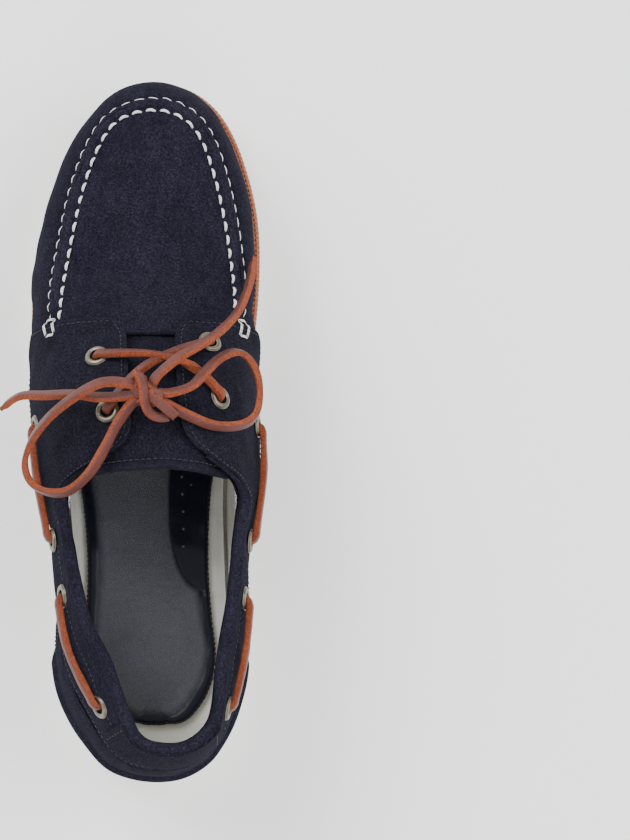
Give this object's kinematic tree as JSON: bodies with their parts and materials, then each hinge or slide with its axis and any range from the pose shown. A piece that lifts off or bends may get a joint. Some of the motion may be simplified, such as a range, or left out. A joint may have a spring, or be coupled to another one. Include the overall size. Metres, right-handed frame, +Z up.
{
  "type": "boat shoe",
  "caption": "Left boat shoe: moccasin suede upper with raised toe seam, side lacing through metal eyelets, tied bow, footbed and flat rubber sole.",
  "frame": {"origin": "middle of the heel tread, on the floor", "axes": "+Y from heel to toe, +X to the inner side of the foot, +Z up"},
  "size_m": [0.1092, 0.3013, 0.1158],
  "materials": {
    "cream_rubber": "matt moulded",
    "tan_leather": "waxed edge",
    "navy_suede": "brushed nap",
    "navy_leather": "soft grain",
    "aged_metal": "antiqued",
    "lace_leather": "rawhide"
  },
  "bodies": {
    "root": {"outsole": "cream_rubber", "midsole": "tan_leather", "footbed": "navy_leather", "upper": "navy_suede", "collar_overlay": "navy_suede", "heel_counter": "navy_suede", "heel_tab": "navy_suede", "tongue": "navy_suede", "lace_bar_lateral_front": "lace_leather", "lace_bar_lateral_rear": "lace_leather", "lace_bar_medial_front": "lace_leather", "lace_bar_medial_rear": "lace_leather", "lace_crossing": "lace_leather", "lace_knot": "lace_leather", "lace_loop_lateral": "lace_leather", "lace_loop_medial": "lace_leather", "lace_end_toe": "lace_leather", "lace_end_side": "lace_leather", "eyelet_lateral_a": "aged_metal", "eyelet_lateral_b": "aged_metal", "eyelet_lateral_c": "aged_metal", "eyelet_lateral_d": "aged_metal", "eyelet_medial_a": "aged_metal", "eyelet_medial_b": "aged_metal", "eyelet_medial_c": "aged_metal", "eyelet_medial_d": "aged_metal", "eyelet_throat_lateral_front": "aged_metal", "eyelet_throat_lateral_rear": "aged_metal", "eyelet_throat_medial_front": "aged_metal", "eyelet_throat_medial_rear": "aged_metal"}
  },
  "joints": []
}
